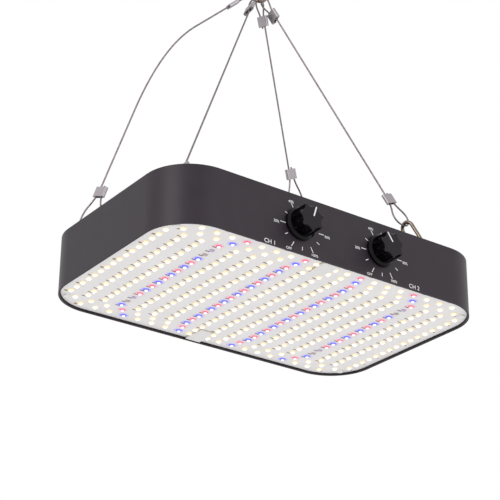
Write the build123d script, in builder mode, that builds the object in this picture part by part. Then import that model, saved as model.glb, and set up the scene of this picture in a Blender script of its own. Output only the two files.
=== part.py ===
from build123d import *
import os
from math import atan, cos, degrees, hypot, radians, sin, tan

os.makedirs("parts", exist_ok=True)

# ---------------------------------------------------------------------------
# Driving dimensions, mm. The origin is where a hook bears inside the top ring,
# +Z is up, X runs along the housing and the control wall faces -Y.
# ---------------------------------------------------------------------------
LENGTH = 311.5
WIDTH = 198.0
HEIGHT = 49.5
WALL = 1.5
CORNER_R = 40.0
TOP_RECESS = 8.0
RIM_Z = -321.2  # lower rim of the housing below the hanging point
MID_X = 9.3  # the housing's centre beside the hanging point
MID_Y = -4.6

PLATE_H = HEIGHT - TOP_RECESS - WALL  # underside of the top plate above the rim

BOARD_H = 2.0  # light side of the board above the rim
BOARD_T = 1.6
BOARD_GAP = 0.5
SINK_T = 3.0
FIN_H = 9.0
SINK_L = 236.0
SINK_W = 120.0

LINES = 19
LINE_PITCH = 16.0
ROWS = 20
ROW_PITCH = 9.27
EDGE_PITCH = {1: 13.8, 2: 14.95}  # LED pitch in the two rows at each long edge
LEAD_PAIR = {9: -17.0, 10: 2.0}  # the LEDs beside the lead covers
LED_L = 3.5
LED_W = 2.8
LED_T = 0.8

KNOB_HALF_PITCH = 40.2
KNOB_SHIFT = -1.0
KNOB_H = 25.0  # shaft height above the rim
SHAFT_R = 3.0
KNOB_GAP = 0.6
KNOB_CAVITY_R = 8.2
KNOB_CAVITY = 6.6
SKIRT_R = 13.7
SKIRT_T = 3.4
KNOB_R = 11.5
KNOB_TALL = 15.6  # face of the knob off the wall
FLUTES = 7
FLUTE_R = 5.6
FLUTE_DEPTH = 2.6
KNOB_TURN = {"left": 16.5, "right": -34.5}  # pointer, clockwise from upright
RIDGE_TURN = 4.5  # from the pointer to the ridge beside it
POINTER_ASIDE = 1.2

EYE_X = 124.7
EYE_Y = 75.0
EYE_WIRE_R = 2.0
EYE_LEG = 14.0

HOOK_WIRE_R = 1.6
HOOK_R = 5.6
HOOK_LONG = 41.8
GATE_R = 1.4
GATE_PIN_R = 0.6
GATE_PIN_UP = 7.3
RUN_CLEAR = 0.05

ROPE_R = 0.75
STRAND = 1.8  # each strand of a loop stands this far off its sleeve's middle
LOOP_R = 4.2  # half the width of a loop where it goes round its hook
SLEEVE_L = 9.4
SLEEVE_W = 12.0
SLEEVE_T = 3.4
SLEEVE_HOLLOW = 7.0
SLEEVE_WALL = 0.65

RING_R = 12.0
RING_WIRE_R = 1.5


def level(height):
    """The horizontal plane that far above the housing's rim, at the housing's centre."""
    return Plane(origin=(MID_X, MID_Y, RIM_Z + height))


def save(piece, name):
    piece.part.label = name
    export_step(piece.part, f"parts/{name}.step")


def spots(points):
    return Locations(*[(x, y) for x, y in points])


# ---------------------------------------------------------------------------
# Housing shell: a drawn box, open below, its top plate sunk inside the walls
# ---------------------------------------------------------------------------
FAN = 80.0
FAN_T = 15.0
FAN_HOLE_R = 37.0
FAN_SCREW = 71.5
BOARD_SCREWS = [(x, y) for x in (-141.5, 141.5) for y in (-80.0, 80.0)]
BRACKET_R = 9.0
BRACKET_T = 8.0
SCREW_R = 1.5
DRIVER_L = 40.0
DRIVER_W = 96.0
DRIVER_T = 18.0
DRIVER_X = 88.0
DRIVER_FEET = [
    (side * DRIVER_X + x, y)
    for side in (-1, 1)
    for x in (4 - DRIVER_L / 2, DRIVER_L / 2 - 4)
    for y in (4 - DRIVER_W / 2, DRIVER_W / 2 - 4)
]
VENT_X = 96.0
VENT_PITCH = 6.0
VENTS = 9
INLET_X = 92.0
INLET_H = 24.0
INLET_L = 27.0
INLET_W = 19.0
INLET_EAR = 40.0
EYES = {
    "front_left": (-EYE_X, -EYE_Y),
    "front_right": (EYE_X, -EYE_Y),
    "back_left": (-EYE_X, EYE_Y),
    "back_right": (EYE_X, EYE_Y),
}
KNOBS = {
    "left": KNOB_SHIFT - KNOB_HALF_PITCH,
    "right": KNOB_SHIFT + KNOB_HALF_PITCH,
}
front_wall = Plane(
    origin=(MID_X, MID_Y - WIDTH / 2, RIM_Z + KNOB_H), x_dir=(1, 0, 0), z_dir=(0, -1, 0)
)
back_wall = Plane(
    origin=(MID_X, MID_Y + WIDTH / 2, RIM_Z + INLET_H), x_dir=(-1, 0, 0), z_dir=(0, 1, 0)
)
BUSH_R = 3.5


BAR = Vector(1, 0, 0)  # the bar of every hang eye
RING_ANGLE = {"front_left": -15.0, "front_right": 42.0, "back_left": -42.0, "back_right": 15.0}


def eye_centre(name):
    """Middle of the bar of a hang eye, level with the top of the walls."""
    x, y = EYES[name]
    return Vector(x, y, RIM_Z + HEIGHT)


def ring_seat(name):
    """Centre of the ring's wire where that rope's loop hangs on it."""
    turn = radians(RING_ANGLE[name])
    drop = RING_R * (1 + cos(turn)) - RING_WIRE_R
    return Vector(RING_R * sin(turn), 0, -drop)


def heading(name):
    """Unit horizontal vector from a hang eye towards its seat on the ring."""
    run = ring_seat(name) - eye_centre(name)
    return Vector(run.X, run.Y, 0).normalized()


def eye_legs():
    """Where the legs of the hang eyes go through the plate, from the housing's centre."""
    return [
        (x - MID_X + side * EYE_LEG / 2, y - MID_Y) for x, y in EYES.values() for side in (-1, 1)
    ]


with BuildPart() as housing_shell:
    with BuildSketch(level(0)):
        RectangleRounded(LENGTH, WIDTH, CORNER_R)
    extrude(amount=HEIGHT)
    with BuildSketch(level(0)):
        RectangleRounded(LENGTH - 2 * WALL, WIDTH - 2 * WALL, CORNER_R - WALL)
    extrude(amount=PLATE_H, mode=Mode.SUBTRACT)
    with BuildSketch(level(HEIGHT)):
        RectangleRounded(LENGTH - 2 * WALL, WIDTH - 2 * WALL, CORNER_R - WALL)
    extrude(amount=-TOP_RECESS, mode=Mode.SUBTRACT)
    with BuildSketch(level(PLATE_H)):
        Circle(FAN_HOLE_R)
        with GridLocations(FAN_SCREW, FAN_SCREW, 2, 2):
            Circle(SCREW_R + 0.2)
        for side in (-1, 1):
            with Locations((side * VENT_X, 0)):
                with GridLocations(VENT_PITCH, 0, VENTS, 1):
                    SlotOverall(56, 2.6, rotation=90)
        with spots(eye_legs()):
            Circle(EYE_WIRE_R + 0.1)
        with spots(DRIVER_FEET):
            Circle(SCREW_R + 0.2)
    extrude(amount=WALL, mode=Mode.SUBTRACT)
    with BuildSketch(front_wall):
        with spots([(x, 0) for x in KNOBS.values()]):
            Circle(BUSH_R + 0.1)
    extrude(amount=-WALL, mode=Mode.SUBTRACT)
    with BuildSketch(back_wall):
        with Locations((-INLET_X, 0)):
            RectangleRounded(INLET_L + 0.4, INLET_W + 0.4, 2.4)
            with GridLocations(INLET_EAR, 0, 2, 1):
                Circle(SCREW_R + 0.1)
    extrude(amount=-WALL, mode=Mode.SUBTRACT)
save(housing_shell, "housing_shell")

# ---------------------------------------------------------------------------
# Board, LEDs, lead covers, screws
# ---------------------------------------------------------------------------
inside_l = LENGTH - 2 * (WALL + BOARD_GAP)
inside_w = WIDTH - 2 * (WALL + BOARD_GAP)

with BuildPart() as led_board:
    with BuildSketch(level(BOARD_H)):
        RectangleRounded(inside_l, inside_w, CORNER_R - WALL - BOARD_GAP)
        with spots(BOARD_SCREWS):
            Circle(SCREW_R + 0.1, mode=Mode.SUBTRACT)
    extrude(amount=BOARD_T)
save(led_board, "led_board")


def led_spot(line, row):
    """Centre of an LED from the board's centre: lines 1 to 19 from the left, rows 1 to 20 from the front."""
    y = (row - (ROWS + 1) / 2) * ROW_PITCH
    from_edge = min(row, ROWS + 1 - row)
    if from_edge > 2:
        return (line - 10) * LINE_PITCH, y
    return LEAD_PAIR.get(line, (line - 10) * EDGE_PITCH[from_edge]), y


def led_kind(line, row):
    """Which kind of LED stands there. Every fourth line carries the colours."""
    if line % 4:
        return "warm_white" if (line + row) % 2 else "cool_white"
    if row <= 2 or row >= ROWS - 1:
        return "blue" if row in (2, ROWS) else "red"
    place = ROWS - 1 - row  # 1 at the back to 16 at the front
    if line in (8, 12):
        return "blue" if place % 2 else "red"
    special = {2: "infrared", 14: "infrared", 3: "ultraviolet", 15: "ultraviolet"}
    if place in special:
        return special[place]
    if place == 1:
        return "blue"
    if place == 16:
        return "red"
    return "red" if place % 2 == 0 else "blue"


LED_KINDS = ("warm_white", "cool_white", "red", "blue", "ultraviolet", "infrared")
for kind in LED_KINDS:
    places = [
        led_spot(line, row)
        for line in range(1, LINES + 1)
        for row in range(1, ROWS + 1)
        if led_kind(line, row) == kind
    ]
    with BuildPart() as leds:
        with BuildSketch(level(BOARD_H)):
            with spots(places):
                Rectangle(LED_L, LED_W)
        extrude(amount=-LED_T)
    save(leds, f"{kind}_leds")

COVER_X = -7.6
COVER_EDGE_L = 14.4
COVER_INNER_L = 11.6
COVER_INNER_Y = 74.5
COVER_T = 1.8
for name, side in (("front", -1), ("back", 1)):
    with BuildPart() as lead_cover:
        with BuildSketch(level(BOARD_H)):
            with BuildLine():
                edge = side * (inside_w / 2 - 0.2)
                inner = side * COVER_INNER_Y
                shoulder = edge - side * 9.0
                Polyline(
                    (COVER_X - COVER_EDGE_L / 2, edge),
                    (COVER_X - COVER_EDGE_L / 2, shoulder),
                    (COVER_X - COVER_INNER_L / 2, inner),
                    (COVER_X + COVER_INNER_L / 2, inner),
                    (COVER_X + COVER_EDGE_L / 2, shoulder),
                    (COVER_X + COVER_EDGE_L / 2, edge),
                    close=True,
                )
            make_face()
        extrude(amount=-COVER_T)
        fillet(lead_cover.faces().sort_by(Axis.Z)[0].edges(), 0.6)
    save(lead_cover, f"{name}_lead_cover")

SCREW_HEAD_R = 2.8
SCREW_HEAD_T = 1.2
with BuildPart() as board_screws:
    with BuildSketch(level(BOARD_H)):
        with spots(BOARD_SCREWS):
            Circle(SCREW_HEAD_R)
    extrude(amount=-SCREW_HEAD_T)
    with BuildSketch(level(BOARD_H)):
        with spots(BOARD_SCREWS):
            Circle(SCREW_R)
    extrude(amount=7.0)
save(board_screws, "board_screws")

# ---------------------------------------------------------------------------
# Heat sink, corner brackets, drivers, junction block
# ---------------------------------------------------------------------------
sink_h = BOARD_H + BOARD_T
fins_h = sink_h + SINK_T
with BuildPart() as heat_sink:
    with BuildSketch(level(sink_h)):
        Rectangle(SINK_L, SINK_W)
    extrude(amount=SINK_T)
    with BuildSketch(level(fins_h)):
        with GridLocations(0, 7.4, 1, 16):
            Rectangle(SINK_L, 1.4)
    extrude(amount=FIN_H)
save(heat_sink, "heat_sink")

with BuildPart() as corner_brackets:
    with BuildSketch(level(sink_h)):
        with spots(BOARD_SCREWS):
            Circle(BRACKET_R)
        RectangleRounded(
            LENGTH - 2 * WALL, WIDTH - 2 * WALL, CORNER_R - WALL, mode=Mode.INTERSECT
        )
        with spots(BOARD_SCREWS):
            Circle(SCREW_R + 0.1, mode=Mode.SUBTRACT)
    extrude(amount=BRACKET_T)
save(corner_brackets, "corner_brackets")

with BuildPart() as driver_screws:
    with BuildSketch(level(PLATE_H + WALL)):
        with spots(DRIVER_FEET):
            Circle(SCREW_HEAD_R)
    extrude(amount=1.6)
    with BuildSketch(level(PLATE_H + WALL)):
        with spots(DRIVER_FEET):
            Circle(SCREW_R)
    extrude(amount=-9.0)
save(driver_screws, "driver_screws")

DRIVER_FOOT = 3.0
for name, side in (("left", -1), ("right", 1)):
    feet = [foot for foot in DRIVER_FEET if foot[0] * side > 0]
    with BuildPart() as driver:
        with BuildSketch(level(PLATE_H - DRIVER_FOOT)):
            with Locations((side * DRIVER_X, 0)):
                RectangleRounded(DRIVER_L, DRIVER_W, 2)
        extrude(amount=-DRIVER_T)
        with BuildSketch(level(PLATE_H)):
            with spots(feet):
                Circle(2.8)
        extrude(amount=-DRIVER_FOOT)
        with BuildSketch(level(PLATE_H)):
            with spots(feet):
                Circle(SCREW_R + 0.1)
        extrude(amount=-9.0, mode=Mode.SUBTRACT)
    save(driver, f"{name}_driver")

with BuildPart() as junction_block:
    with BuildSketch(level(PLATE_H)):
        with Locations((40, 76)):
            Rectangle(30, 14)
    extrude(amount=-12)
    with BuildSketch(level(PLATE_H - 12)):
        with Locations((40, 76)):
            with GridLocations(10, 0, 3, 1):
                Circle(2.2)
    extrude(amount=6, mode=Mode.SUBTRACT)
save(junction_block, "junction_block")

# ---------------------------------------------------------------------------
# Fan under the top plate, its guard and screws
# ---------------------------------------------------------------------------
HUB_R = 15.0
SPINDLE_R = 2.5
BLADES = 7
GUARD_WIRE = 1.6
frame_h = PLATE_H - FAN_T
with BuildPart() as fan_frame:
    with BuildSketch(level(frame_h)):
        RectangleRounded(FAN, FAN, 4)
        Circle(FAN_HOLE_R, mode=Mode.SUBTRACT)
        with GridLocations(FAN_SCREW, FAN_SCREW, 2, 2):
            Circle(SCREW_R + 0.1, mode=Mode.SUBTRACT)
    extrude(amount=FAN_T)
    with BuildSketch(level(frame_h)):
        Circle(HUB_R)
        with PolarLocations(26, 4, start_angle=20):
            Rectangle(24, 4)
    extrude(amount=1.6)
    with BuildSketch(level(frame_h)):
        Circle(SPINDLE_R)
    extrude(amount=6.6)
save(fan_frame, "fan_frame")

rotor_h = frame_h + 2.4
with BuildPart() as fan_rotor:
    with BuildSketch(level(rotor_h)):
        Circle(HUB_R)
    extrude(amount=10.6)
    with BuildSketch(level(rotor_h)):
        Circle(SPINDLE_R + RUN_CLEAR)
    extrude(amount=5.0, mode=Mode.SUBTRACT)
    for number in range(BLADES):
        turn = radians(number * 360 / BLADES)
        root = Plane(
            origin=(
                MID_X + (HUB_R - 1.0) * cos(turn),
                MID_Y + (HUB_R - 1.0) * sin(turn),
                RIM_Z + rotor_h + 5.3,
            ),
            x_dir=(-sin(turn), cos(turn), 0),
            z_dir=(cos(turn), sin(turn), 0),
        )
        with BuildSketch(root):
            Rectangle(14.0, 1.4, rotation=35)
        extrude(amount=21.5)
save(fan_rotor, "fan_rotor")

with BuildPart() as fan_guard:
    with BuildSketch(level(PLATE_H + WALL)):
        for radius in (10.0, 19.0, 28.0, 37.0):
            Circle(radius + GUARD_WIRE / 2)
            Circle(radius - GUARD_WIRE / 2, mode=Mode.SUBTRACT)
            if radius > 10.0:
                Circle(radius - 9.0 + GUARD_WIRE / 2)
                Circle(radius - 9.0 - GUARD_WIRE / 2, mode=Mode.SUBTRACT)
        with PolarLocations(29.5, 4, start_angle=45):
            Rectangle(41.0, 2.4)
        with GridLocations(FAN_SCREW, FAN_SCREW, 2, 2):
            Circle(3.6)
            Circle(SCREW_R + 0.2, mode=Mode.SUBTRACT)
    extrude(amount=GUARD_WIRE)
save(fan_guard, "fan_guard")

with BuildPart() as fan_screws:
    with BuildSketch(level(PLATE_H + WALL + GUARD_WIRE)):
        with GridLocations(FAN_SCREW, FAN_SCREW, 2, 2):
            Circle(SCREW_HEAD_R)
    extrude(amount=1.6)
    with BuildSketch(level(PLATE_H + WALL + GUARD_WIRE)):
        with GridLocations(FAN_SCREW, FAN_SCREW, 2, 2):
            Circle(SCREW_R)
    extrude(amount=-14.0)
save(fan_screws, "fan_screws")

# ---------------------------------------------------------------------------
# Dimmers: potentiometer, washer, nut, shaft and knob on the front wall
# ---------------------------------------------------------------------------
POT_R = 8.25
POT_T = 9.0
BUSH_OUT = 5.0  # bushing beyond the wall's face
SHAFT_OUT = 13.6
WASHER_T = 0.6
POINTER_W = 1.2
POINTER_LONG = 9.0
POINTER_MID = 6.2
POINTER_CUT = 0.4


def knob_plane(side, out=0.0):
    """Plane across a knob's axis, that far out from the wall's face."""
    return Plane(
        origin=front_wall.origin + Vector(KNOBS[side], -out, 0), x_dir=(1, 0, 0), z_dir=(0, -1, 0)
    )


def pointer_bar(side):
    """The pointer's outline on the knob's face, a bar on the ray that the pointer shows."""
    turn = radians(KNOB_TURN[side])
    x = POINTER_MID * sin(turn) + POINTER_ASIDE * cos(turn)
    y = POINTER_MID * cos(turn) - POINTER_ASIDE * sin(turn)
    with Locations((x, y)):
        SlotOverall(POINTER_LONG, POINTER_W, rotation=90.0 - KNOB_TURN[side])


for side in KNOBS:
    with BuildPart() as pot:
        with BuildSketch(knob_plane(side, -WALL)):
            Circle(POT_R)
            with Locations((0, POT_R)):
                Rectangle(13.0, 5.0)
        extrude(amount=-POT_T)
        with BuildSketch(knob_plane(side, -WALL - 3.0)):
            with Locations((0, POT_R + 3.0)):
                with GridLocations(5, 0, 3, 1):
                    Rectangle(1.2, 5.0)
        extrude(amount=-0.8)
        with BuildSketch(knob_plane(side, -WALL)):
            Circle(BUSH_R)
        extrude(amount=WALL + BUSH_OUT)
        with BuildSketch(knob_plane(side, BUSH_OUT)):
            Circle(SHAFT_R + RUN_CLEAR)
        extrude(amount=-BUSH_OUT - WALL - POT_T + 1.5, mode=Mode.SUBTRACT)
    save(pot, f"{side}_pot")

    with BuildPart() as shaft:
        with BuildSketch(knob_plane(side, SHAFT_OUT)):
            Circle(SHAFT_R)
        extrude(amount=-SHAFT_OUT - WALL - POT_T + 2.0)
    save(shaft, f"{side}_shaft")

    with BuildPart() as knob:
        with BuildSketch(knob_plane(side, KNOB_GAP)):
            Circle(SKIRT_R)
        extrude(amount=SKIRT_T)
        chamfer(knob.faces().sort_by(Axis.Y)[0].edges(), 1.6, 2.0)
        with BuildSketch(knob_plane(side, KNOB_GAP + 1.0)):
            Circle(KNOB_R)
            ridge = 90.0 - KNOB_TURN[side] - RIDGE_TURN
            with PolarLocations(
                KNOB_R + FLUTE_R - FLUTE_DEPTH, FLUTES, start_angle=ridge + 180 / FLUTES
            ):
                Circle(FLUTE_R, mode=Mode.SUBTRACT)
        extrude(amount=KNOB_TALL - KNOB_GAP - 1.0)
        chamfer(knob.faces().sort_by(Axis.Y)[0].edges(), 0.4)
        with BuildSketch(knob_plane(side, KNOB_GAP)):
            Circle(KNOB_CAVITY_R)
        extrude(amount=KNOB_CAVITY - KNOB_GAP, mode=Mode.SUBTRACT)
        with BuildSketch(knob_plane(side, KNOB_CAVITY)):
            Circle(SHAFT_R)
        extrude(amount=SHAFT_OUT - KNOB_CAVITY, mode=Mode.SUBTRACT)
        with BuildSketch(knob_plane(side, KNOB_TALL)):
            pointer_bar(side)
        extrude(amount=-POINTER_CUT, mode=Mode.SUBTRACT)
    save(knob, f"{side}_knob")

    with BuildPart() as pointer:
        with BuildSketch(knob_plane(side, KNOB_TALL)):
            pointer_bar(side)
        extrude(amount=-POINTER_CUT)
    save(pointer, f"{side}_pointer")

with BuildPart() as pot_washers:
    for side in KNOBS:
        with BuildSketch(knob_plane(side)):
            Circle(6.2)
            Circle(BUSH_R + 0.1, mode=Mode.SUBTRACT)
        extrude(amount=WASHER_T)
save(pot_washers, "pot_washers")

with BuildPart() as pot_nuts:
    for side in KNOBS:
        with BuildSketch(knob_plane(side, WASHER_T)):
            RegularPolygon(5.0, 6, major_radius=False)
            Circle(BUSH_R + 0.02, mode=Mode.SUBTRACT)
        extrude(amount=2.0)
save(pot_nuts, "pot_nuts")

# ---------------------------------------------------------------------------
# Power inlet in the back wall
# ---------------------------------------------------------------------------
INLET_DEEP = 20.0
CAVITY_L = 24.5
CAVITY_W = 16.5
CAVITY = 15.0
PIN_LONG = 9.0
PIN_SPOTS = [(-7.0, -2.0), (7.0, -2.0), (0.0, 2.0)]


def inlet_plane(out=0.0):
    """Plane across the inlet, that far out from the back wall's face."""
    return Plane(
        origin=back_wall.origin + Vector(INLET_X, out, 0), x_dir=(-1, 0, 0), z_dir=(0, 1, 0)
    )


with BuildPart() as power_inlet:
    with BuildSketch(inlet_plane()):
        SlotOverall(INLET_EAR + 9.0, 23.0)
        with GridLocations(INLET_EAR, 0, 2, 1):
            Circle(SCREW_R + 0.1, mode=Mode.SUBTRACT)
    extrude(amount=2.0)
    with BuildSketch(inlet_plane()):
        RectangleRounded(INLET_L, INLET_W, 2.2)
    extrude(amount=-INLET_DEEP + 2.0)
    with BuildSketch(inlet_plane(2.0)):
        RectangleRounded(CAVITY_L, CAVITY_W, 1.5)
    extrude(amount=-CAVITY, mode=Mode.SUBTRACT)
    with BuildSketch(inlet_plane(2.0 - CAVITY)):
        with spots(PIN_SPOTS):
            Rectangle(2.0, 4.0)
    extrude(amount=-INLET_DEEP + CAVITY, mode=Mode.SUBTRACT)
save(power_inlet, "power_inlet")

with BuildPart() as inlet_pins:
    with BuildSketch(inlet_plane(2.0 - CAVITY + PIN_LONG)):
        with spots(PIN_SPOTS):
            Rectangle(2.0, 4.0)
    extrude(amount=-PIN_LONG - INLET_DEEP + CAVITY - 4.0)
save(inlet_pins, "inlet_pins")

with BuildPart() as inlet_screws:
    with BuildSketch(inlet_plane(2.0)):
        with GridLocations(INLET_EAR, 0, 2, 1):
            Circle(SCREW_HEAD_R)
    extrude(amount=1.6)
    with BuildSketch(inlet_plane(2.0)):
        with GridLocations(INLET_EAR, 0, 2, 1):
            Circle(SCREW_R)
    extrude(amount=-8.0)
save(inlet_screws, "inlet_screws")

# ---------------------------------------------------------------------------
# Hang eyes: bent rods through the top plate, held by nuts
# ---------------------------------------------------------------------------
EYE_BEND = 3.5
EYE_TAIL = 5.5  # rod below the top plate
NUT_ACROSS = 7.0
NUT_T = 2.6

with BuildPart() as hang_eyes:
    for name in EYES:
        across = BAR
        top = eye_centre(name)
        down = Vector(0, 0, PLATE_H - EYE_TAIL - HEIGHT)
        corners = [top + across * (EYE_LEG / 2), top - across * (EYE_LEG / 2)]
        with BuildLine() as bend:
            FilletPolyline(
                corners[0] + down, corners[0], corners[1], corners[1] + down, radius=EYE_BEND
            )
        with BuildSketch(Plane(origin=bend.line @ 0, z_dir=bend.line % 0)):
            Circle(EYE_WIRE_R)
        sweep(path=bend.line)
save(hang_eyes, "hang_eyes")

with BuildPart() as eye_nuts:
    for height in (PLATE_H - NUT_T, PLATE_H + WALL):
        with BuildSketch(level(height)):
            with spots(eye_legs()):
                RegularPolygon(NUT_ACROSS / 2, 6, major_radius=False)
                Circle(EYE_WIRE_R + 0.02, mode=Mode.SUBTRACT)
        extrude(amount=NUT_T)
save(eye_nuts, "eye_nuts")

# ---------------------------------------------------------------------------
# Ropes. Each leg is one rope with a loop and a crimped sleeve at both ends.
# Along a leg, the lower loop starts at a hook or at the eye itself. The back
# left leg is the slack one of the four: it leaves its eye more steeply and
# bows over to the ring.
# ---------------------------------------------------------------------------
SLACK = "back_left"
SLACK_LEAN = 17.9  # from upright, degrees
SLACK_RISE = 205.0  # from the eye to the middle of its bow
HOOKS = ("front_right", "back_right")
LOOP = {"front_left": 8.0, "front_right": 23.5, "back_left": 49.5, "back_right": 90.0}
BULGE = {"front_left": 4.8, "front_right": 9.6, "back_left": 11.0, "back_right": 9.6}
NECK = 17.0  # from a sleeve down to where its loop is widest
LOOP_FACE = {
    "front_left": Vector(0, 1, 0),
    "front_right": Vector(1, 0, 0),
    "back_left": Vector(0.34, -0.91, -0.25),
    "back_right": Vector(0.89, 0.05, 0.45),
}
TOP_LOOP = 16.0
TOP_BULGE = 5.4
SEAT_GAP = 0.05  # a hook rests this close to its eye
ROPE_GAP = 0.15  # a loop rests this close to what it hangs on
TAIL = 1.5


def leave(name):
    """Direction in which a leg leaves its eye."""
    if name != SLACK:
        return (ring_seat(name) - eye_centre(name)).normalized()
    lean = radians(SLACK_LEAN)
    return heading(name) * sin(lean) + Vector(0, 0, cos(lean))


def bow(name):
    """Corner of the slack leg's bow."""
    return eye_centre(name) + leave(name) * SLACK_RISE


def arrive(name):
    """Direction in which a leg comes up to the ring."""
    if name != SLACK:
        return leave(name)
    return (ring_seat(name) - bow(name)).normalized()


def loop_side(name):
    """Direction across a leg's lower loop, square to the leg."""
    along = leave(name)
    return (LOOP_FACE[name] - along * LOOP_FACE[name].dot(along)).normalized()


def seat(name, across, distance):
    """A point below the eye's bar, so that a rod running across there is that far from the bar's axis."""
    along = leave(name)
    apart = across.cross(BAR).normalized()
    return eye_centre(name) - along * (distance / abs(along.dot(apart)))


def hook_plane(name):
    """A hook's own plane: origin at its lowest centreline point, Y along the leg, X to the gate."""
    along, side = leave(name), loop_side(name)
    gate_way = along.cross(side)
    if gate_way.Y * EYES[name][1] > 0:
        gate_way = gate_way * -1
    origin = seat(name, gate_way, EYE_WIRE_R + HOOK_WIRE_R + SEAT_GAP)
    return Plane(origin=origin, x_dir=gate_way, z_dir=gate_way.cross(along))


def lower_end(name):
    """Lower loop: its lowest centreline point, the leg's direction and the loop's side."""
    along, side = leave(name), loop_side(name)
    if name in HOOKS:
        reach = HOOK_LONG - HOOK_WIRE_R - ROPE_R - ROPE_GAP
        return hook_plane(name).origin + along * reach, along, side
    return seat(name, side, EYE_WIRE_R + ROPE_R + ROPE_GAP), along, side


def upper_end(name):
    """Upper loop: its highest centreline point, the direction back down the leg, and its side."""
    turn = radians(RING_ANGLE[name])
    along = arrive(name)
    side = along.cross(Vector(cos(turn), 0, sin(turn))).normalized()
    return ring_seat(name) + along * (RING_WIRE_R + ROPE_R + ROPE_GAP), along * -1, side


def loop_points(end, along, side, loop, bulge):
    """A loop from its cut end, round what it hangs on, to where it leaves its sleeve."""
    neck = min(NECK, 0.6 * loop)
    waist = [(0.4 * (loop - neck), bulge)] if loop > 3 * NECK else []
    one_side = [(loop - neck, bulge), *waist, (0.0, LOOP_R)]
    corners = [
        (loop + SLEEVE_L + TAIL, STRAND),
        (loop, STRAND),
        *one_side,
        *[(a, -b) for a, b in one_side[::-1]],
        (loop, -STRAND),
    ]
    return [end + along * a + side * b for a, b in corners]


def rope_points(name):
    lower = loop_points(*lower_end(name), LOOP[name], BULGE[name])
    upper = loop_points(*upper_end(name), TOP_LOOP, TOP_BULGE)
    middle = [bow(name)] if name == SLACK else []
    return lower + middle + upper[::-1]


def bend_radii(points):
    """An arc for each inner point, reaching 0.45 of its shorter run."""
    radii = []
    for before, corner, after in zip(points, points[1:], points[2:]):
        run_in, run_out = corner - before, after - corner
        half = radians(run_in.get_angle(run_out)) / 2
        radii.append(0.45 * min(run_in.length, run_out.length) / tan(half))
    return radii


for name in EYES:
    points = rope_points(name)
    radii = bend_radii(points)
    with BuildPart() as rope:
        with BuildLine() as route:
            FilletPolyline(*points, radius=radii)
        with BuildSketch(Plane(origin=route.line @ 0, z_dir=route.line % 0)):
            Circle(ROPE_R)
        sweep(path=route.line)
    save(rope, f"{name}_rope")
    length = sum(edge.length for edge in route.edges())
    print(name, "rope, length", round(length, 1), "radii", [round(r, 1) for r in radii])

for group, ends in (("lower", lower_end), ("upper", upper_end)):
    with BuildPart() as sleeves:
        for name in EYES:
            end, along, side = ends(name)
            loop = LOOP[name] if group == "lower" else TOP_LOOP
            with BuildSketch(Plane(origin=end + along * loop, x_dir=side, z_dir=along)):
                RectangleRounded(SLEEVE_W, SLEEVE_T, 1.4)
                SlotOverall(SLEEVE_HOLLOW, SLEEVE_T - 2 * SLEEVE_WALL, mode=Mode.SUBTRACT)
            extrude(amount=SLEEVE_L)
    save(sleeves, f"{group}_sleeves")

# ---------------------------------------------------------------------------
# Snap hooks: a wire body, a gate on a pin, and the top ring
# ---------------------------------------------------------------------------
TONGUE_T = 1.0
SLOT_T = 1.6
FORK_R = 1.2
GATE_LOW = 9.9
GATE_TOP = HOOK_LONG - HOOK_R - 0.5
top_arc = HOOK_LONG - HOOK_R

for name in HOOKS:
    plane = hook_plane(name)
    with BuildPart() as hook:
        with BuildLine(plane) as body_line:
            Line((-HOOK_R, HOOK_R), (-HOOK_R, top_arc))
            CenterArc((0, HOOK_R), HOOK_R, 180, 180)
            CenterArc((0, top_arc), HOOK_R, 0, 180)
        body = Wire(body_line.edges())
        start = plane.from_local_coords(Vector(HOOK_R, HOOK_R, 0))
        with BuildSketch(Plane(origin=start, z_dir=plane.y_dir)):
            Circle(HOOK_WIRE_R)
        sweep(path=body)
        with BuildSketch(plane.offset(-TONGUE_T / 2)):
            with Locations((HOOK_R, (HOOK_R + GATE_PIN_UP) / 2 - 0.5)):
                Rectangle(2 * FORK_R, GATE_PIN_UP - HOOK_R + 1.0)
            with Locations((HOOK_R, GATE_PIN_UP)):
                Circle(FORK_R)
        extrude(amount=TONGUE_T)
        with BuildSketch(plane.offset(-TONGUE_T)):
            with Locations((HOOK_R, GATE_PIN_UP)):
                Circle(GATE_PIN_R)
        extrude(amount=2 * TONGUE_T, mode=Mode.SUBTRACT)
    save(hook, f"{name}_hook")

    with BuildPart() as gate:
        rod_foot = plane.from_local_coords(Vector(HOOK_R, GATE_PIN_UP, 0))
        with BuildSketch(Plane(origin=rod_foot, x_dir=plane.x_dir, z_dir=plane.y_dir)):
            Circle(GATE_R)
        extrude(amount=GATE_TOP - GATE_PIN_UP)
        with BuildSketch(plane.offset(-FORK_R)):
            with Locations((HOOK_R, GATE_PIN_UP)):
                Circle(FORK_R)
            with Locations((HOOK_R, GATE_PIN_UP + 1.0)):
                Rectangle(2 * FORK_R, 2.0)
        extrude(amount=2 * FORK_R)
        with BuildSketch(plane.offset(-SLOT_T / 2)):
            with Locations((HOOK_R, (GATE_LOW + GATE_PIN_UP) / 2 - 2.0)):
                Rectangle(3 * GATE_R, GATE_LOW - GATE_PIN_UP + 4.0)
        extrude(amount=SLOT_T, mode=Mode.SUBTRACT)
        with BuildSketch(plane.offset(-2 * GATE_R)):
            with Locations((HOOK_R, GATE_PIN_UP)):
                Circle(GATE_PIN_R + RUN_CLEAR)
        extrude(amount=4 * GATE_R, mode=Mode.SUBTRACT)
    save(gate, f"{name}_gate")

with BuildPart() as gate_pins:
    for name in HOOKS:
        with BuildSketch(hook_plane(name).offset(-GATE_R - 0.1)):
            with Locations((HOOK_R, GATE_PIN_UP)):
                Circle(GATE_PIN_R)
        extrude(amount=2 * GATE_R + 0.2)
save(gate_pins, "gate_pins")

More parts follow.
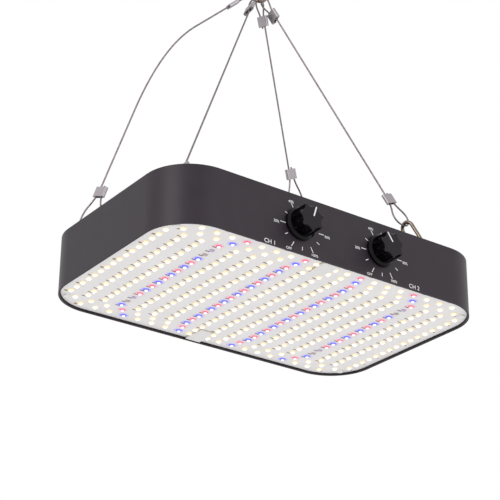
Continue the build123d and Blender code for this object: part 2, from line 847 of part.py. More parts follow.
with BuildPart() as hang_ring:
    ring_plane = Plane(
        origin=(0, 0, RING_WIRE_R - RING_R), x_dir=(1, 0, 0), z_dir=(0, -1, 0)
    )
    with BuildLine(ring_plane) as loop_line:
        CenterArc((0, 0), RING_R, 0, 360)
    with BuildSketch(Plane(origin=loop_line.line @ 0, z_dir=loop_line.line % 0)):
        Circle(RING_WIRE_R)
    sweep(path=loop_line.line)
save(hang_ring, "hang_ring")

for name in HOOKS:
    pin = hook_plane(name).from_local_coords(Vector(HOOK_R, GATE_PIN_UP, 0))
    axis = hook_plane(name).z_dir
    print(name, "gate pin", [round(v, 3) for v in pin], "axis", [round(v, 5) for v in axis])
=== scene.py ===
"""Visual model of the hanging LED grow light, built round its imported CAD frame."""

from math import cos, pi, radians, sin

import bmesh
import bpy
from mathutils import Matrix, Vector


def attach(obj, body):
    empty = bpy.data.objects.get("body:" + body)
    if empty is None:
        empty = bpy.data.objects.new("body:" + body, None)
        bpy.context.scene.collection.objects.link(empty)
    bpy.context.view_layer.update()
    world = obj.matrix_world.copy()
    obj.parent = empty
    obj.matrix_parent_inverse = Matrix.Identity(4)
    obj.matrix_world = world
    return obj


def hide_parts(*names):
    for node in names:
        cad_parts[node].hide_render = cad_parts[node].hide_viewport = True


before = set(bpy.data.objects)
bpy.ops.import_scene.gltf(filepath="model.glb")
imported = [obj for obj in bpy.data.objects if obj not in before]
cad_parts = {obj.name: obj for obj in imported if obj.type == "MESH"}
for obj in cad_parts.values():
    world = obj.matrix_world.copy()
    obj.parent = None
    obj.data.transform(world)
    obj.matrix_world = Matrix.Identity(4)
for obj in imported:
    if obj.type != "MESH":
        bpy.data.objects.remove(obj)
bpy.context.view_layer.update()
MM = 0.001

# ---------------------------------------------------------------------------
# The light's main dimensions, millimetres, as in the CAD source
# ---------------------------------------------------------------------------
WIDTH, HEIGHT, WALL = 198.0, 49.5, 1.5
MID_X, MID_Y, RIM_Z = 9.3, -4.6, -321.2  # the housing's centre and rim, from the hanging point
BOARD_H = 2.0  # light side of the board above the rim
LED_T = 0.8
LINES, LINE_PITCH = 19, 16.0
ROWS, ROW_PITCH = 20, 9.27
EDGE_PITCH = {1: 13.8, 2: 14.95}  # pitch in the first and second row from a long edge
LEAD_PAIR = {9: -17.0, 10: 2.0}  # in those rows, the LEDs on each side of a lead cover
KNOB_SHIFT, KNOB_HALF_PITCH, KNOB_H = -1.0, 40.2, 25.0
KNOB_TALL = 15.6
EYE_X, EYE_Y = 124.7, 75.0


def at(x, y, height):
    """A point in metres from the housing's centre and the height above its rim, in millimetres."""
    return Vector((MID_X + x, MID_Y + y, RIM_Z + height)) * MM


# ---------------------------------------------------------------------------
# Camera
# ---------------------------------------------------------------------------
CAMERA_PLACE = (-0.71255, -0.98627, -0.84459)
CAMERA_TURN = (115.282, -0.489, -35.909)  # degrees
SENSOR_WIDTH, FOCAL_LENGTH, CLIP_END = 36.0, 116.46, 20.0
camera_data = bpy.data.cameras.new("camera")
camera_data.sensor_width = SENSOR_WIDTH
camera_data.lens = FOCAL_LENGTH
camera_data.clip_end = CLIP_END
camera = bpy.data.objects.new("camera", camera_data)
camera.location = CAMERA_PLACE
camera.rotation_euler = tuple(radians(turn) for turn in CAMERA_TURN)
bpy.context.collection.objects.link(camera)
bpy.context.scene.camera = camera

# ---------------------------------------------------------------------------
# Ropes: smooth splines on the CAD routes' own points, and a few more near their corners
# ---------------------------------------------------------------------------
ROPE_STEPS, ROPE_FACETS = 24, 5
ROPE_R, STRAND, LOOP_R = 0.75, 1.8, 4.2
SLEEVE_L, TAIL = 9.4, 1.5
EYE_WIRE_R, HOOK_WIRE_R, HOOK_LONG = 2.0, 1.6, 41.8
RING_R, RING_WIRE_R = 12.0, 1.5
SEAT_GAP, ROPE_GAP = 0.05, 0.15
TOP_LOOP, TOP_BULGE, NECK = 16.0, 5.4, 17.0
SLACK, SLACK_LEAN, SLACK_RISE = "back_left", 17.9, 205.0
HOOKS = ("front_right", "back_right")
BAR = Vector((1, 0, 0))
EYES = {
    "front_left": (-EYE_X, -EYE_Y),
    "front_right": (EYE_X, -EYE_Y),
    "back_left": (-EYE_X, EYE_Y),
    "back_right": (EYE_X, EYE_Y),
}
RING_ANGLE = {"front_left": -15.0, "front_right": 42.0, "back_left": -42.0, "back_right": 15.0}
LOOP = {"front_left": 8.0, "front_right": 23.5, "back_left": 49.5, "back_right": 90.0}
BULGE = {"front_left": 4.8, "front_right": 9.6, "back_left": 11.0, "back_right": 9.6}
LOOP_FACE = {
    "front_left": Vector((0, 1, 0)),
    "front_right": Vector((1, 0, 0)),
    "back_left": Vector((0.34, -0.91, -0.25)),
    "back_right": Vector((0.89, 0.05, 0.45)),
}


def eye_centre(name):
    x, y = EYES[name]
    return Vector((x, y, RIM_Z + HEIGHT))


def ring_seat(name):
    turn = radians(RING_ANGLE[name])
    return Vector((RING_R * sin(turn), 0, RING_WIRE_R - RING_R * (1 + cos(turn))))


def heading(name):
    run = ring_seat(name) - eye_centre(name)
    return Vector((run.x, run.y, 0)).normalized()


def leave(name):
    if name != SLACK:
        return (ring_seat(name) - eye_centre(name)).normalized()
    lean = radians(SLACK_LEAN)
    return heading(name) * sin(lean) + Vector((0, 0, cos(lean)))


def bow(name):
    return eye_centre(name) + leave(name) * SLACK_RISE


def arrive(name):
    if name != SLACK:
        return leave(name)
    return (ring_seat(name) - bow(name)).normalized()


def loop_side(name):
    along = leave(name)
    return (LOOP_FACE[name] - along * LOOP_FACE[name].dot(along)).normalized()


def seat(name, across, distance):
    """A point below the eye's bar, so that a rod running across there is that far from the bar."""
    along = leave(name)
    apart = across.cross(BAR).normalized()
    return eye_centre(name) - along * (distance / abs(along.dot(apart)))


def lower_end(name):
    along, side = leave(name), loop_side(name)
    if name not in HOOKS:
        return seat(name, side, EYE_WIRE_R + ROPE_R + ROPE_GAP), along, side
    gate_way = along.cross(side)
    foot = seat(name, gate_way, EYE_WIRE_R + HOOK_WIRE_R + SEAT_GAP)
    return foot + along * (HOOK_LONG - HOOK_WIRE_R - ROPE_R - ROPE_GAP), along, side


def upper_end(name):
    turn = radians(RING_ANGLE[name])
    along = arrive(name)
    side = along.cross(Vector((cos(turn), 0, sin(turn)))).normalized()
    return ring_seat(name) + along * (RING_WIRE_R + ROPE_R + ROPE_GAP), -along, side


def loop_points(end, along, side, loop, bulge):
    """A loop from its cut end, round what it hangs on, to where it leaves its sleeve."""
    neck = min(NECK, 0.6 * loop)
    waist = [(0.4 * (loop - neck), bulge)] if loop > 3 * NECK else []
    one_side = [(loop - neck, bulge), *waist, (0.0, LOOP_R)]
    corners = [
        (loop + SLEEVE_L + TAIL, STRAND),
        (loop, STRAND),
        *one_side,
        *[(a, -b) for a, b in one_side[::-1]],
        (loop, -STRAND),
    ]
    return [end + along * a + side * b for a, b in corners]


def eased(points):
    """The points, and one more on a run near each corner whose other run is under half as long.

    It is as far from the corner as the next point on the shorter run.
    """
    run = [points[0]]
    for before, corner, after in zip(points, points[1:], points[2:]):
        back, on = (corner - before).length, (after - corner).length
        if back > 2 * on:
            run.append(corner + (before - corner) * (on / back))
        run.append(corner)
        if on > 2 * back:
            run.append(corner + (after - corner) * (back / on))
    return run + [points[-1]]


def rope_points(name):
    lower = loop_points(*lower_end(name), LOOP[name], BULGE[name])
    upper = loop_points(*upper_end(name), TOP_LOOP, TOP_BULGE)
    middle = [bow(name)] if name == SLACK else []
    return eased(lower + middle + upper[::-1])


def evaluated_mesh(thing):
    """A new mesh of a curve or text object as it is drawn."""
    bpy.context.view_layer.update()
    graph = bpy.context.evaluated_depsgraph_get()
    return bpy.data.meshes.new_from_object(thing.evaluated_get(graph))


def spline_length(curve):
    """Length of a curve without its bevel, in its own units."""
    depth, curve.data.bevel_depth = curve.data.bevel_depth, 0.0
    mesh = evaluated_mesh(curve)
    points = [vertex.co.copy() for vertex in mesh.vertices]
    bpy.data.meshes.remove(mesh)
    curve.data.bevel_depth = depth
    return sum((b - a).length for a, b in zip(points, points[1:]))


ropes = {}
for name in EYES:
    points = [point * MM for point in rope_points(name)]
    data = bpy.data.curves.new(f"{name}_wire", "CURVE")
    data.dimensions = "3D"
    data.resolution_u = ROPE_STEPS
    data.bevel_depth = 1.0  # times each point's radius, which is the rope's
    data.bevel_resolution = ROPE_FACETS
    data.use_fill_caps = True
    spline = data.splines.new("NURBS")
    spline.points.add(len(points) - 1)
    for target, point in zip(spline.points, points):
        target.co = (*point, 1.0)
        target.radius = ROPE_R * MM
    spline.order_u = 3
    spline.use_endpoint_u = True
    rope = bpy.data.objects.new(f"{name}_wire", data)
    bpy.context.collection.objects.link(rope)
    ropes[name] = rope
    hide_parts(f"{name}_rope")
    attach(rope, "lamp")
    spline_length(rope)


# ---------------------------------------------------------------------------
# Materials
# ---------------------------------------------------------------------------
class Nodes:
    """Short names for the nodes of one material."""

    def __init__(self, name):
        self.material = bpy.data.materials.new(name)
        self.material.use_nodes = True
        self.tree = self.material.node_tree
        self.shader = self.tree.nodes["Principled BSDF"]

    def add(self, kind, **values):
        node = self.tree.nodes.new(kind)
        for key, value in values.items():
            if key in node.inputs:
                node.inputs[key].default_value = value
            else:
                setattr(node, key, value)
        return node

    def link(self, source, target):
        self.tree.links.new(source, target)

    def place(self):
        """Position in the object's own space, which is the row frame."""
        return self.add("ShaderNodeTexCoord").outputs["Object"]

    def noise(self, scale, detail):
        node = self.add("ShaderNodeTexNoise", Scale=scale, Detail=detail)
        self.link(self.place(), node.inputs["Vector"])
        return node.outputs["Fac"]

    def ramp(self, factor, low, high, dark, light):
        """A colour that goes from dark to light as the factor rises from low to high."""
        return self.stops(factor, [(low, dark), (high, light)])

    def stops(self, factor, colours):
        """A colour that passes through the given ones, each at its place on the factor."""
        node = self.add("ShaderNodeValToRGB")
        elements = node.color_ramp.elements
        while len(elements) < len(colours):
            elements.new(0.5)
        for element, (place, colour) in zip(elements, colours):
            element.position = place
            element.color = (*colour, 1.0)
        self.link(factor, node.inputs["Fac"])
        return node.outputs["Color"]

    def remap(self, factor, low, high):
        node = self.add("ShaderNodeMapRange")
        node.inputs["To Min"].default_value = low
        node.inputs["To Max"].default_value = high
        self.link(factor, node.inputs["Value"])
        return node.outputs["Result"]

    def bump(self, height, strength, distance):
        node = self.add("ShaderNodeBump", Strength=strength, Distance=distance)
        self.link(height, node.inputs["Height"])
        self.link(node.outputs["Normal"], self.shader.inputs["Normal"])


GLOW_ROUGHNESS = 0.45
GLOW_GRAIN = 900.0
GLOW_SPREAD = 1.08  # the brightest grain against the plain colour
# Depths behind the knob's front face over which its painted light fades out
FACE_LIGHT_BLEND_START, FACE_LIGHT_BLEND_END = 0.2, 0.8  # behind the knob's front face, millimetres


def finish_of(
    name, dark, light, rough, metallic=0.0, scale=400.0, bump=0.1, depth=0.00005, gloss=0.5
):
    """A surface whose colour and gloss wander a little, with a fine grain."""
    n = Nodes(name)
    n.shader.inputs["Metallic"].default_value = metallic
    n.shader.inputs["Specular IOR Level"].default_value = gloss
    broad = n.noise(scale / 12, 4.0)
    n.link(n.ramp(broad, 0.3, 0.7, dark, light), n.shader.inputs["Base Color"])
    fine = n.noise(scale * 4, 2.0)
    n.link(n.remap(fine, rough[0], rough[1]), n.shader.inputs["Roughness"])
    n.bump(fine, bump, depth)
    return n.material


def glow_of(name, colour, strength, body=(0.9, 0.88, 0.84)):
    """A glowing LED, with a fine grain in its light."""
    n = Nodes(name)
    n.shader.inputs["Base Color"].default_value = (*body, 1.0)
    n.shader.inputs["Roughness"].default_value = GLOW_ROUGHNESS
    brighter = tuple(min(1.0, channel * GLOW_SPREAD) for channel in colour)
    grain = n.ramp(n.noise(GLOW_GRAIN, 2.0), 0.3, 0.8, colour, brighter)
    n.link(grain, n.shader.inputs["Emission Color"])
    n.shader.inputs["Emission Strength"].default_value = strength
    return n.material


def halo_of(name, tints, glows):
    """Painted light spilt on the board round an LED: a painted tint and glow that change with the
    radius.
    """
    n = Nodes(name)
    radius = n.add("ShaderNodeSeparateXYZ")
    n.link(n.add("ShaderNodeTexCoord").outputs["UV"], radius.inputs["Vector"])
    n.shader.inputs["Roughness"].default_value = GLOW_ROUGHNESS
    n.link(n.stops(radius.outputs["X"], tints), n.shader.inputs["Base Color"])
    n.link(n.stops(radius.outputs["X"], glows), n.shader.inputs["Emission Color"])
    n.shader.inputs["Emission Strength"].default_value = 1.0
    return n.material


def knob_finish_with_painted_face_light():
    """Black plastic, with painted light on the knob's flat front: a lighter colour there."""
    n = Nodes("knob_gloss_with_painted_face_light")
    depth = n.add("ShaderNodeSeparateXYZ")
    n.link(n.place(), depth.inputs["Vector"])
    front = n.add("ShaderNodeMapRange")
    face_y = MID_Y - WIDTH / 2 - KNOB_TALL
    front.inputs["From Min"].default_value = (face_y + FACE_LIGHT_BLEND_END) * MM
    front.inputs["From Max"].default_value = (face_y + FACE_LIGHT_BLEND_START) * MM
    n.link(depth.outputs["Y"], front.inputs["Value"])
    # The lighter face colour is painted light on the flat front; the black is the plastic's own
    # colour
    black, face = (0.0020, 0.0013, 0.0021), (0.013, 0.010, 0.014)
    n.link(n.ramp(front.outputs["Result"], 0.0, 1.0, black, face), n.shader.inputs["Base Color"])
    n.link(n.remap(n.noise(240.0, 2.0), 0.14, 0.2), n.shader.inputs["Roughness"])
    n.shader.inputs["Specular IOR Level"].default_value = 0.17
    return n.material


housing_paint = finish_of(
    "housing_paint", (0.0150, 0.0095, 0.0150), (0.0180, 0.0120, 0.0185), (0.40, 0.50),
    scale=900.0, bump=0.15, gloss=0.3,
)
white_mask = finish_of(
    "white_mask", (0.78, 0.76, 0.76), (0.82, 0.80, 0.80), (0.35, 0.5), scale=300.0
)
white_plastic = finish_of("white_plastic", (0.74, 0.73, 0.72), (0.8, 0.79, 0.78), (0.4, 0.5))
zinc = finish_of("zinc", (0.45, 0.45, 0.43), (0.62, 0.62, 0.6), (0.28, 0.42), 1.0)
plain_aluminium = finish_of(
    "plain_aluminium", (0.6, 0.6, 0.61), (0.72, 0.72, 0.73), (0.3, 0.45), 1.0
)
black_plastic = finish_of("black_plastic", (0.012, 0.012, 0.012), (0.02, 0.02, 0.02), (0.4, 0.55))
knob_gloss_with_painted_face_light = knob_finish_with_painted_face_light()
gate_steel = finish_of("gate_steel", (0.80, 0.78, 0.76), (0.88, 0.86, 0.85), (0.16, 0.24), 1.0)
pointer_paint = finish_of("pointer_paint", (0.60, 0.60, 0.60), (0.68, 0.68, 0.68), (0.5, 0.6))
brass = finish_of("brass", (0.6, 0.45, 0.2), (0.75, 0.6, 0.3), (0.25, 0.35), 1.0)
hook_nickel = finish_of("hook_nickel", (0.15, 0.115, 0.095), (0.30, 0.24, 0.20), (0.2, 0.34), 1.0)
sleeve_metal = finish_of(
    "sleeve_metal", (0.34, 0.31, 0.33), (0.40, 0.37, 0.39), (0.4, 0.5), 1.0, scale=200.0
)
rope_metal = finish_of(
    "rope_metal", (0.13, 0.105, 0.115), (0.30, 0.26, 0.28), (0.35, 0.5), 1.0,
    scale=9000.0, bump=0.5, depth=0.0001,
)

NODE_MATERIALS = {
    "housing_shell": housing_paint,
    "led_board": white_mask,
    "warm_white_leds": glow_of("warm_white_glow", (1.0, 0.80, 0.50), 0.7, (0.80, 0.62, 0.36)),
    "cool_white_leds": glow_of("cool_white_glow", (1.0, 0.88, 0.68), 0.7, (0.82, 0.70, 0.50)),
    "red_leds": glow_of("red_glow", (1.0, 0.10, 0.16), 0.9, (0.3, 0.1, 0.12)),
    "blue_leds": glow_of("blue_glow", (0.10, 0.12, 1.0), 0.9, (0.12, 0.12, 0.3)),
    "ultraviolet_leds": glow_of("ultraviolet_glow", (0.30, 0.16, 0.5), 0.3, (0.4, 0.36, 0.42)),
    "infrared_leds": glow_of("infrared_glow", (0.4, 0.2, 0.2), 0.2, (0.36, 0.34, 0.34)),
    "front_lead_cover": white_plastic,
    "back_lead_cover": white_plastic,
    "heat_sink": plain_aluminium,
    "left_driver": plain_aluminium,
    "right_driver": plain_aluminium,
    "junction_block": white_plastic,
    "fan_frame": black_plastic,
    "fan_rotor": black_plastic,
    "left_knob": knob_gloss_with_painted_face_light,
    "right_knob": knob_gloss_with_painted_face_light,
    "left_pointer": pointer_paint,
    "right_pointer": pointer_paint,
    "left_shaft": plain_aluminium,
    "right_shaft": plain_aluminium,
    "power_inlet": black_plastic,
    "inlet_pins": brass,
    "lower_sleeves": sleeve_metal,
    "upper_sleeves": sleeve_metal,
    "hang_ring": hook_nickel,
    "board_screws": white_plastic,
    "gate_pins": hook_nickel,
}
for name in HOOKS:
    NODE_MATERIALS[f"{name}_hook"] = hook_nickel
    NODE_MATERIALS[f"{name}_gate"] = gate_steel
for name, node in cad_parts.items():
    node.data.materials.clear()
    node.data.materials.append(NODE_MATERIALS.get(name, zinc))
for rope in ropes.values():
    rope.data.materials.append(rope_metal)


# ---------------------------------------------------------------------------
# Pieces made here
# ---------------------------------------------------------------------------
BOX_QUADS = ((0, 1, 3, 2), (4, 6, 7, 5), (0, 4, 5, 1), (2, 3, 7, 6), (0, 2, 6, 4), (1, 5, 7, 3))


def mesh_of(name, bm):
    mesh = bpy.data.meshes.new(name)
    bm.to_mesh(mesh)
    bm.free()
    return mesh


def piece(name, mesh, material):
    """A new piece on the lamp. Everything made here is print, glow, dark marks, painted light or
    painted shade on it.
    """
    thing = bpy.data.objects.new(name, mesh)
    bpy.context.collection.objects.link(thing)
    thing.data.materials.clear()
    thing.data.materials.append(material)
    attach(thing, "lamp")


def add_box(bm, corner, u, v, w):
    """A box from one corner and three edges."""
    ends = (0, 1)
    verts = [bm.verts.new(corner + u * i + v * j + w * k) for i in ends for j in ends for k in ends]
    for quad in BOX_QUADS:
        bm.faces.new([verts[i] for i in quad])


# Printed dials on the front wall
DIAL_OFFSET = {"left": (2.3, -2.6), "right": (1.3, -2.6)}
KNOB_X = {"left": KNOB_SHIFT - KNOB_HALF_PITCH, "right": KNOB_SHIFT + KNOB_HALF_PITCH}
TICK_IN, TICK_LONG, TICK_SHORT, TICK_W = 16.0, 5.0, 3.0, 0.6
PRINT_T = 0.06
TICK_GAP = 0.01  # between a printed tick and the wall
LETTER_SPREAD = 0.00002  # metres
FIGURE_SIZE, CHANNEL_SIZE = 3.1, 5.0
CHANNEL_WORDS = {"left": ("CH 1", -69.6, 2.1), "right": ("CH 2", 73.8, 2.8)}
FIGURES = {
    -150: ("OFF", -12.9, -20.6),
    -90: ("20%", -24.8, -1.1),
    -30: ("40%", -10.8, 19.4),
    30: ("60%", 10.8, 19.4),
    90: ("80%", 24.4, -1.1),
    150: ("100%", 11.9, -20.2),
}
MINOR = (-120, -60, 0, 60, 120, 180)
print_paint = finish_of("print_paint", (0.62, 0.61, 0.62), (0.70, 0.69, 0.70), (0.5, 0.6))
across, up, out = Vector((MM, 0, 0)), Vector((0, 0, MM)), Vector((0, -MM, 0))


def wall_point(x, height):
    """A point on the front wall's face, from the housing's centre and the rim, millimetres."""
    return at(x, -WIDTH / 2, height)


def lettering(name, text, size, x, height):
    """Flat printed lettering on the front wall, centred on the point."""
    data = bpy.data.curves.new(name, "FONT")
    data.body = text
    data.size = size * MM
    data.align_x = data.align_y = "CENTER"
    data.extrude = PRINT_T * MM / 2
    data.offset = LETTER_SPREAD
    thing = bpy.data.objects.new(name, data)
    bpy.context.collection.objects.link(thing)
    mesh = evaluated_mesh(thing)
    bpy.data.objects.remove(thing)
    shift = Matrix.Translation(wall_point(x, height) + out * PRINT_T)
    mesh.transform(shift @ Matrix.Rotation(pi / 2, 4, "X"))
    return mesh


for side, knob_x in KNOB_X.items():
    shift, drop = DIAL_OFFSET[side]
    centre = (knob_x + shift, KNOB_H + drop)
    bm = bmesh.new()
    for angle in (*FIGURES, *MINOR):
        ray = across * sin(radians(angle)) + up * cos(radians(angle))
        beside = across * cos(radians(angle)) - up * sin(radians(angle))
        long = TICK_LONG if angle in FIGURES else TICK_SHORT
        foot = wall_point(*centre) + ray * TICK_IN - beside * TICK_W / 2 + out * TICK_GAP
        add_box(bm, foot, ray * long, beside * TICK_W, out * PRINT_T)
    for text, x, height in FIGURES.values():
        mesh = lettering("figure", text, FIGURE_SIZE, centre[0] + x, centre[1] + height)
        bm.from_mesh(mesh)
        bpy.data.meshes.remove(mesh)
    name = f"{side}_dial_print"
    piece(name, mesh_of(name, bm), print_paint)

for side, (text, x, height) in CHANNEL_WORDS.items():
    word = lettering(side, text, CHANNEL_SIZE, x, height)
    piece(f"{side}_channel_print", word, print_paint)

# ---------------------------------------------------------------------------
# On the board: painted light round the LEDs, glowing beads on them, dark marks beside them tinted
# with painted LED light, dark joints with painted shade round the lead covers
# ---------------------------------------------------------------------------
# Of each halo: its reach in x and y, millimetres, then its tints and its glows by radius
BOARD_TONE = (0.80, 0.78, 0.78)
DARK = (0.0, 0.0, 0.0)
BEADS = {
    "warm_white": (1.0, 0.93, 0.74),
    "cool_white": (1.0, 0.97, 0.88),
    "red": (1.0, 0.42, 0.48),
    "blue": (0.52, 0.55, 1.0),
}
BEAD_R, BEAD_T, BEAD_SIDES, BEAD_RINGS = 1.4, 0.7, 12, 3
BEAD_GLOW = 1.5
HALOS = {
    "warm_white": (
        (3.4, 4.6),
        [(0.35, (0.84, 0.68, 0.46)), (0.65, (0.80, 0.71, 0.58)), (1.0, BOARD_TONE)],
        [(0.35, (0.40, 0.24, 0.08)), (0.65, (0.12, 0.06, 0.01)), (1.0, DARK)],
    ),
    "cool_white": (
        (3.2, 4.4),
        [(0.35, (0.82, 0.72, 0.56)), (0.65, (0.80, 0.74, 0.66)), (1.0, BOARD_TONE)],
        [(0.35, (0.40, 0.30, 0.16)), (0.65, (0.08, 0.05, 0.02)), (1.0, DARK)],
    ),
    "red": (
        (6.0, 4.6),
        [
            (0.3, (0.8, 0.24, 0.30)),
            (0.5, (0.8, 0.5, 0.58)),
            (0.7, (0.78, 0.69, 0.76)),
            (1.0, BOARD_TONE),
        ],
        [(0.3, (0.6, 0.06, 0.10)), (0.5, (0.12, 0.0, 0.02)), (0.7, (0.01, 0.0, 0.02)), (1.0, DARK)],
    ),
    "blue": (
        (6.0, 4.6),
        [
            (0.3, (0.14, 0.13, 0.8)),
            (0.5, (0.42, 0.38, 0.84)),
            (0.7, (0.68, 0.64, 0.80)),
            (1.0, BOARD_TONE),
        ],
        [(0.3, (0.02, 0.02, 0.8)), (0.5, (0.0, 0.0, 0.3)), (0.7, (0.0, 0.0, 0.05)), (1.0, DARK)],
    ),
}
# Dark marks beside the LEDs, tinted with painted light in the colour of each LED kind
LED_LIT_MARK_TONES = {
    "warm_white": ((0.20, 0.12, 0.04), (0.26, 0.16, 0.06)),
    "cool_white": ((0.14, 0.09, 0.04), (0.20, 0.13, 0.06)),
    "red": ((0.22, 0.02, 0.05), (0.28, 0.04, 0.07)),
    "blue": ((0.05, 0.02, 0.16), (0.08, 0.03, 0.22)),
    "ultraviolet": ((0.10, 0.08, 0.11), (0.14, 0.11, 0.15)),
    "infrared": ((0.12, 0.08, 0.09), (0.16, 0.11, 0.12)),
}
SKIN, HALO_SIDES = 0.03, 24
MARK_L, MARK_W, MARK_SHIFT = 4.0, 1.3, (-1.9, 3.3)
END_MARK_L, END_MARK_W, END_MARK_SHIFT = 3.0, 2.0, (-3.2, 2.5)  # in the first and last line
ROW_MARK_SHIFT = (5.0, -6.4)  # in the front row
MIDDLE_LINE = 10


def led_spot(line, row):
    """Where an LED is, from the board's centre, millimetres. Lines and rows count from 1."""
    y = (row - (ROWS + 1) / 2) * ROW_PITCH
    from_edge = min(row, ROWS + 1 - row)
    if from_edge > 2:
        return (line - MIDDLE_LINE) * LINE_PITCH, y
    return LEAD_PAIR.get(line, (line - MIDDLE_LINE) * EDGE_PITCH[from_edge]), y


def led_kind(line, row):
    """White, but in every fourth line coloured."""
    if line % 4:
        return "warm_white" if (line + row) % 2 else "cool_white"
    if row <= 2 or row >= ROWS - 1:
        return "blue" if row in (2, ROWS) else "red"
    place = ROWS - 1 - row
    if line in (8, 12):
        return "blue" if place % 2 else "red"
    special = {2: "infrared", 14: "infrared", 3: "ultraviolet", 15: "ultraviolet"}
    if place in special:
        return special[place]
    if place == 1:
        return "blue"
    if place == 16:
        return "red"
    return "red" if place % 2 == 0 else "blue"


LEDS = [(line, row) for line in range(1, LINES + 1) for row in range(1, ROWS + 1)]
COVER_X, COVER_EDGE, COVER_INNER, COVER_INNER_Y, COVER_STEP = -7.6, 7.2, 5.8, 74.5, 9.0
SEAM_W, SEAM_OUT, SEAM_SETBACK = 0.8, 0.4, 0.7


def leds_of(kind):
    return [(line, row, *led_spot(line, row)) for line, row in LEDS if led_kind(line, row) == kind]


def add_ring(bm, x, y, reach_x, reach_y, height, sides):
    """Vertices round an ellipse that lies level."""
    turns = [2 * pi * step / sides for step in range(sides)]
    return [bm.verts.new(at(x + reach_x * cos(t), y + reach_y * sin(t), height)) for t in turns]


def add_strip(bm, start, end):
    """A thin strip on the board between two points given from its centre, millimetres."""
    first, last = at(*start, BOARD_H - 2 * SKIN), at(*end, BOARD_H - 2 * SKIN)
    run = last - first
    beside = run.normalized().cross(up).normalized() * SEAM_W * MM
    add_box(bm, first - beside / 2, run, beside, up * SKIN)


bm = bmesh.new()
half_edge, half_inner = COVER_EDGE + SEAM_OUT, COVER_INNER + SEAM_OUT
for side in (-1, 1):
    edge = side * (WIDTH / 2 - WALL - SEAM_SETBACK)
    shoulder = edge - side * COVER_STEP
    inner = side * (COVER_INNER_Y - SEAM_OUT)
    outline = [
        (COVER_X - half_edge, edge),
        (COVER_X - half_edge, shoulder),
        (COVER_X - half_inner, inner),
        (COVER_X + half_inner, inner),
        (COVER_X + half_edge, shoulder),
        (COVER_X + half_edge, edge),
    ]
    for start, end in zip(outline, outline[1:]):
        add_strip(bm, start, end)
# A thin dark line round each lead cover: the joint where it meets the board, and painted shade cast
# by the cover's edge on the board
seam_and_shade_tone = finish_of("seam_and_shade", (0.34, 0.24, 0.09), (0.42, 0.30, 0.12), (0.5, 0.6))
piece("cover_seam_and_shades", mesh_of("cover_seam_and_shades", bm), seam_and_shade_tone)

# Halos: closed thin discs of painted light on the board, whose UV is 0 at the hub and 1 at the rim
for kind, ((reach_x, reach_y), tints, glows) in HALOS.items():
    bm = bmesh.new()
    layer = bm.loops.layers.uv.new("radius")
    for _, _, x, y in leds_of(kind):
        heights = (BOARD_H - SKIN, BOARD_H)
        hubs = [bm.verts.new(at(x, y, height)) for height in heights]
        low, high = [
            add_ring(bm, x, y, reach_x, reach_y, height, HALO_SIDES) for height in heights
        ]
        for step in range(HALO_SIDES):
            after = (step + 1) % HALO_SIDES
            for corners in (
                (hubs[0], low[after], low[step]),
                (hubs[1], high[step], high[after]),
                (low[step], low[after], high[after], high[step]),
            ):
                for loop in bm.faces.new(corners).loops:
                    loop[layer].uv = (0.0 if loop.vert in hubs else 1.0, 0.5)
    name = f"{kind}_halos"
    piece(name, mesh_of(name, bm), halo_of(f"{kind}_halo", tints, glows))

# Beads: low closed domes on the lit LEDs
for kind, tone in BEADS.items():
    bm = bmesh.new()
    base = BOARD_H - LED_T
    for _, _, x, y in leds_of(kind):
        tip = bm.verts.new(at(x, y, base - BEAD_T))
        rings = []
        for ring in range(BEAD_RINGS):
            lift = pi / 2 * (ring + 1) / BEAD_RINGS
            reach = BEAD_R * sin(lift)
            rings.append(add_ring(bm, x, y, reach, reach, base - BEAD_T * cos(lift), BEAD_SIDES))
        for step in range(BEAD_SIDES):
            after = (step + 1) % BEAD_SIDES
            bm.faces.new((tip, rings[0][after], rings[0][step]))
            for inner, outer in zip(rings, rings[1:]):
                bm.faces.new((inner[step], inner[after], outer[after], outer[step]))
        bm.faces.new(rings[-1])
    bmesh.ops.recalc_face_normals(bm, faces=bm.faces)
    for face in bm.faces:
        face.smooth = len(face.verts) < BEAD_SIDES
    name = f"{kind}_beads"
    piece(name, mesh_of(name, bm), glow_of(f"{kind}_bead", tone, BEAD_GLOW))
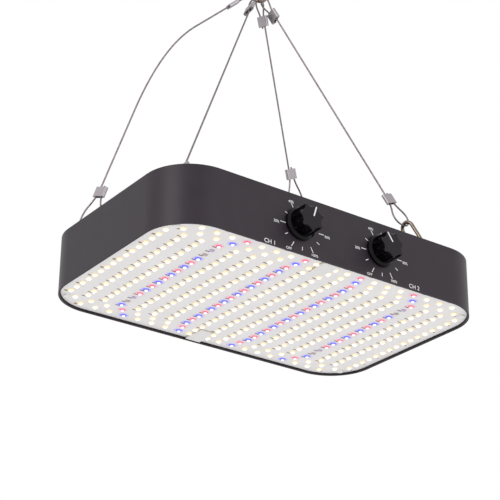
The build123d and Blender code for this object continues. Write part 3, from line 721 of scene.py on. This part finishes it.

# Marks: small dark marks tinted with painted light in their LED's colour, with those at the board's
# edges placed apart
for kind, (dark, light) in LED_LIT_MARK_TONES.items():
    bm = bmesh.new()
    for line, row, x, y in leds_of(kind):
        long, wide, (shift_x, shift_y) = MARK_L, MARK_W, MARK_SHIFT
        if line in (1, LINES):
            if row % 2:
                continue
            long, wide, (shift_x, shift_y) = END_MARK_L, END_MARK_W, END_MARK_SHIFT
            if line == LINES:
                shift_x = -shift_x
        elif row in (2, ROWS - 1, ROWS):
            continue
        elif row == 1:
            if line % 2:
                continue
            shift_x, shift_y = ROW_MARK_SHIFT
        corner = at(x + shift_x - long / 2, y + shift_y - wide / 2, BOARD_H - 2 * SKIN)
        add_box(bm, corner, across * long, Vector((0, wide * MM, 0)), up * SKIN)
    name = f"{kind}_led_lit_marks"
    piece(name, mesh_of(name, bm), finish_of(f"{kind}_led_lit_mark", dark, light, (0.5, 0.6)))


# ---------------------------------------------------------------------------
# Floor and light
# ---------------------------------------------------------------------------
FLOOR_HALF, FLOOR_Z = 6.0, -1.6  # metres


def area_light(name, location, target, size, power):
    data = bpy.data.lights.new(name, "AREA")
    data.shape = "RECTANGLE"
    data.size, data.size_y = size
    data.energy = power
    light = bpy.data.objects.new(name, data)
    light.location = location
    aim = Vector(target) - Vector(location)
    light.rotation_euler = aim.to_track_quat("-Z", "Y").to_euler()
    bpy.context.collection.objects.link(light)


bm = bmesh.new()
bmesh.ops.create_grid(bm, x_segments=1, y_segments=1, size=FLOOR_HALF)
floor = bpy.data.objects.new("floor", mesh_of("floor", bm))
floor.location = (0, 0, FLOOR_Z)
bpy.context.collection.objects.link(floor)
floor.data.materials.append(
    finish_of("floor_paper", (0.8, 0.8, 0.8), (0.84, 0.84, 0.84), (0.8, 0.9), scale=40.0)
)

world = bpy.data.worlds.new("studio")
world.use_nodes = True
world.node_tree.nodes["Background"].inputs["Color"].default_value = (1.0, 1.0, 1.0, 1.0)
world.node_tree.nodes["Background"].inputs["Strength"].default_value = 1.0
bpy.context.scene.world = world
bpy.context.scene.view_settings.view_transform = "Standard"
centre = at(0, 0, HEIGHT / 2)
area_light("left_softbox", (-1.6, -0.5, 0.1), centre, (0.9, 0.9), 12.0)
area_light("front_softbox", (0.4, -1.8, -0.2), centre, (1.0, 0.8), 8.0)
